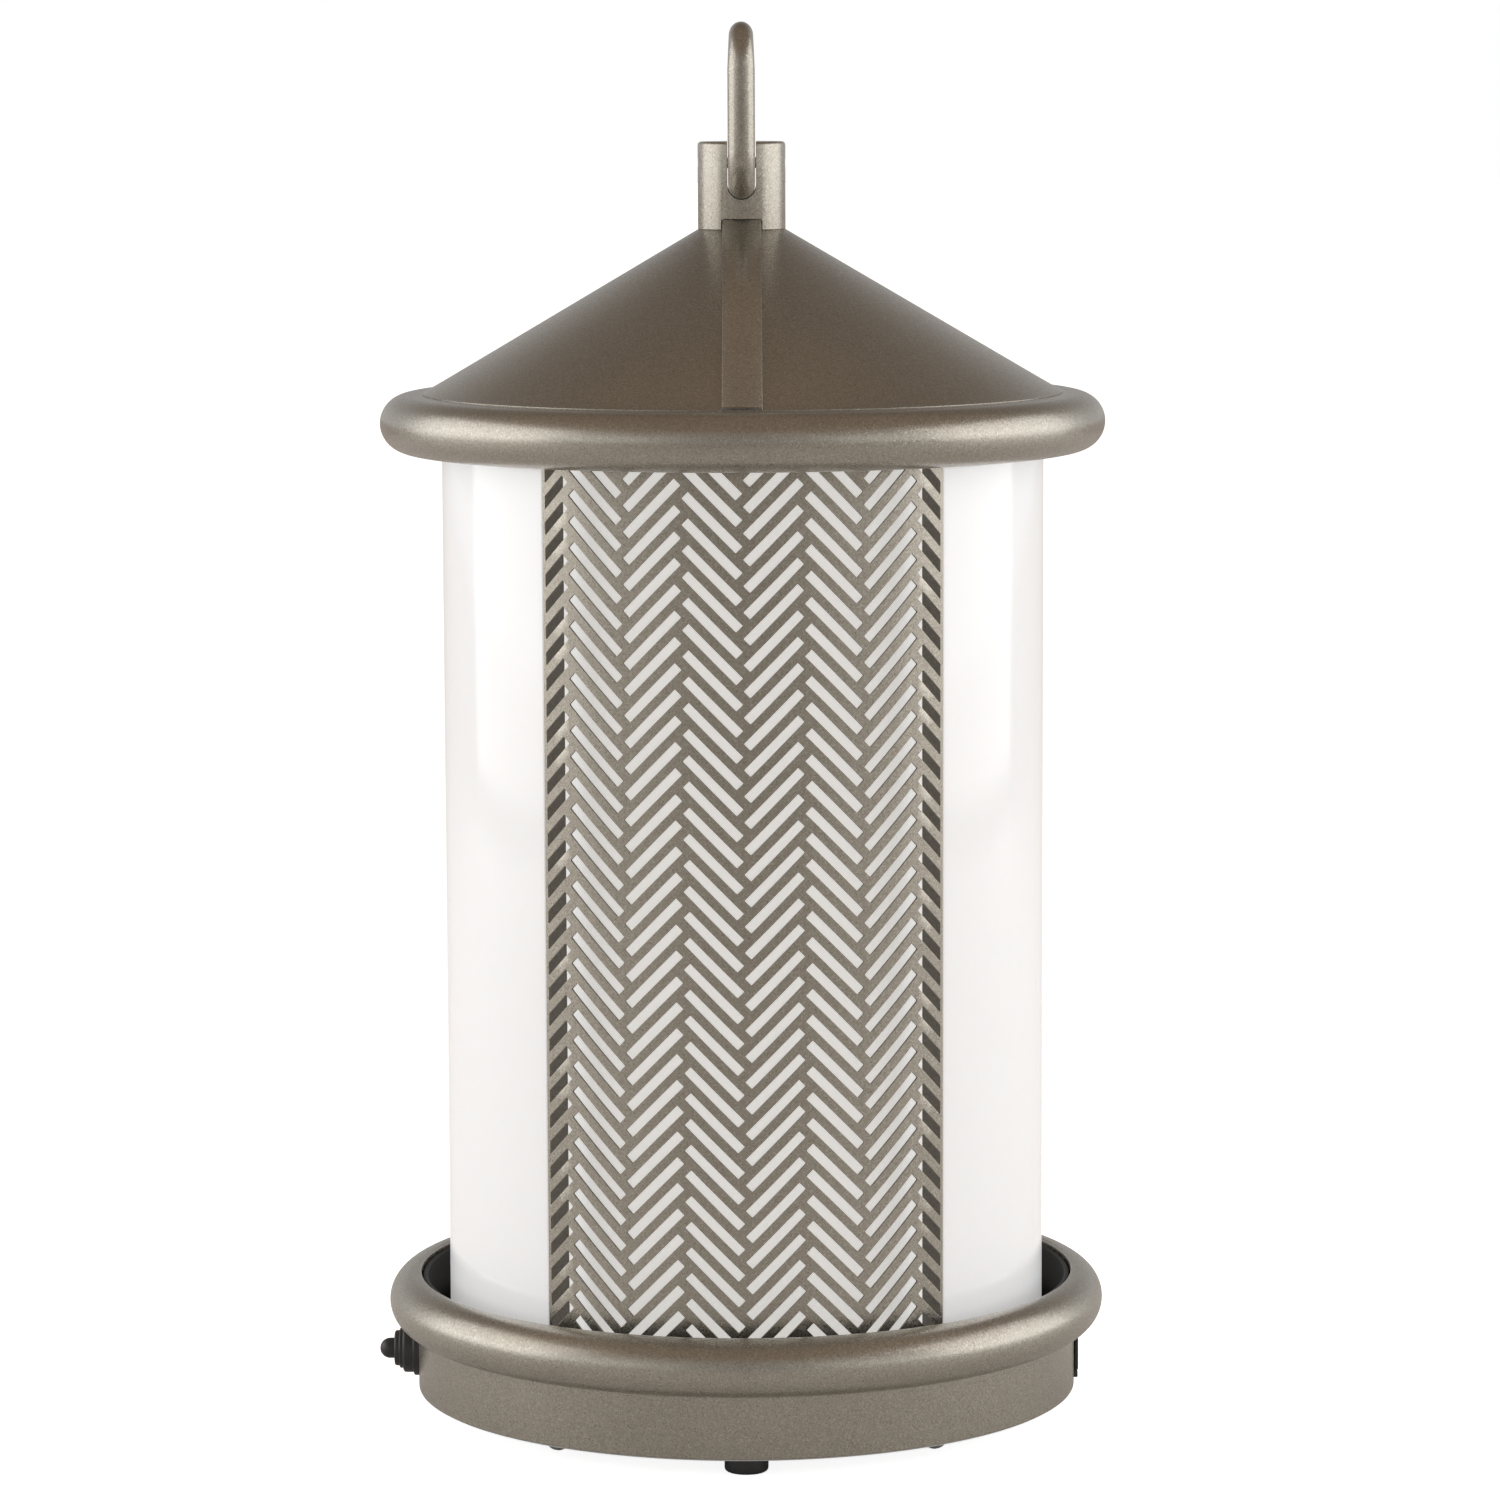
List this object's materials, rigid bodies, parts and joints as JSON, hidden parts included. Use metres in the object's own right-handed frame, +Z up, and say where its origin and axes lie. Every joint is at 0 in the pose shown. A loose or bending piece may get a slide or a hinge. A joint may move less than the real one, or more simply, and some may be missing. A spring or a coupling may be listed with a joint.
{
  "type": "electric bug zapper",
  "caption": "Lantern-style electric bug zapper: herringbone grilles and white shades under a conical roof, live wire cage and lamp in a dished base, hanging loop on top.",
  "frame": {"origin": "on the floor under the lantern's axis, at the centre of the circle of feet", "axes": "+Z up along the lantern's axis, front grille towards -Y, charging inlet towards +X, switch towards -X"},
  "size_m": [0.241, 0.2372, 0.457],
  "materials": {
    "champagne_paint": "warm champagne metallic paint, fine flake, satin",
    "zinc_steel": "zinc-plated steel, satin",
    "black_rubber": "moulded rubber, matt",
    "chrome_screw": "bright plated",
    "black_plastic": "moulded, fine texture",
    "tray_grey": "moulded, satin",
    "white_moulding": "moulded, satin",
    "lamp_glass": "phosphor-coated tube, violet tint",
    "glazed_insulator": "gloss white insulator",
    "stainless_wire": "drawn stainless wire",
    "circuit_board": "solder mask over glass laminate",
    "transformer_tape": "amber tape over a ferrite core",
    "film_capacitor": "epoxy-dipped film",
    "battery_wrap": "shrink wrap",
    "white_shade": "opal acrylic, gloss",
    "white_liner": "white, satin"
  },
  "bodies": {
    "base": {"base_shell": "champagne_paint", "bottom_plate": "zinc_steel", "rubber_feet": "black_rubber", "bottom_screws": "chrome_screw", "base_deck": "black_plastic", "deck_wall": "black_plastic", "locating_ring": "black_plastic", "lamp_holder": "white_moulding", "lamp_cap": "white_moulding", "uv_lamp": "lamp_glass", "lower_insulator": "glazed_insulator", "upper_insulator": "glazed_insulator", "cage_posts": "white_moulding", "inner_grid_wires": "stainless_wire", "outer_grid_wires": "stainless_wire", "power_board": "circuit_board", "board_spacers": "white_moulding", "hv_transformer": "transformer_tape", "hv_capacitors": "film_capacitor", "battery_pack": "battery_wrap", "charge_socket": "black_plastic", "port_hinge_strip": "black_rubber", "switch_body": "black_plastic", "switch_bezel": "black_plastic", "switch_boot": "black_rubber"},
    "tray": {"catch_tray": "tray_grey"},
    "button": {"switch_button": "black_rubber"},
    "port_flap": {"port_cover": "black_rubber"},
    "housing": {"lower_ring": "white_moulding", "upper_ring": "white_moulding", "shade_left": "white_shade", "shade_right": "white_shade", "front_liner": "white_liner", "rear_liner": "white_liner", "front_grille": "champagne_paint", "rear_grille": "champagne_paint", "tie_rods": "zinc_steel", "tie_rod_nuts": "zinc_steel", "top_plate": "zinc_steel", "roof_rim": "champagne_paint", "roof_cone": "champagne_paint", "front_strap": "champagne_paint", "rear_strap": "champagne_paint", "hub": "champagne_paint", "hub_bolt": "zinc_steel", "loop_pin": "chrome_screw"},
    "loop": {"hanging_loop": "champagne_paint"}
  },
  "joints": [
    {"name": "housing_lift", "type": "slide", "parent": "base", "child": "housing", "axis": [0, 0, 1], "range_m": [0, 0.29]},
    {"name": "tray_lift", "type": "slide", "parent": "base", "child": "tray", "axis": [0, 0, 1], "range_m": [0, 0.25]},
    {"name": "loop_swing", "type": "hinge", "parent": "housing", "child": "loop", "pos_m": [0, 0, 0.4045], "axis": [0, 1, 0], "range_deg": [-115, 115]},
    {"name": "switch_press", "type": "slide", "parent": "base", "child": "button", "axis": [1, 0, 0], "range_m": [0, 0.0015], "stiffness_N_per_m": 900, "springref_m": -0.001},
    {"name": "port_flap_swing", "type": "hinge", "parent": "base", "child": "port_flap", "pos_m": [0.10992, 0, 0.01178], "axis": [0, 1, 0], "range_deg": [0, 110]}
  ]
}
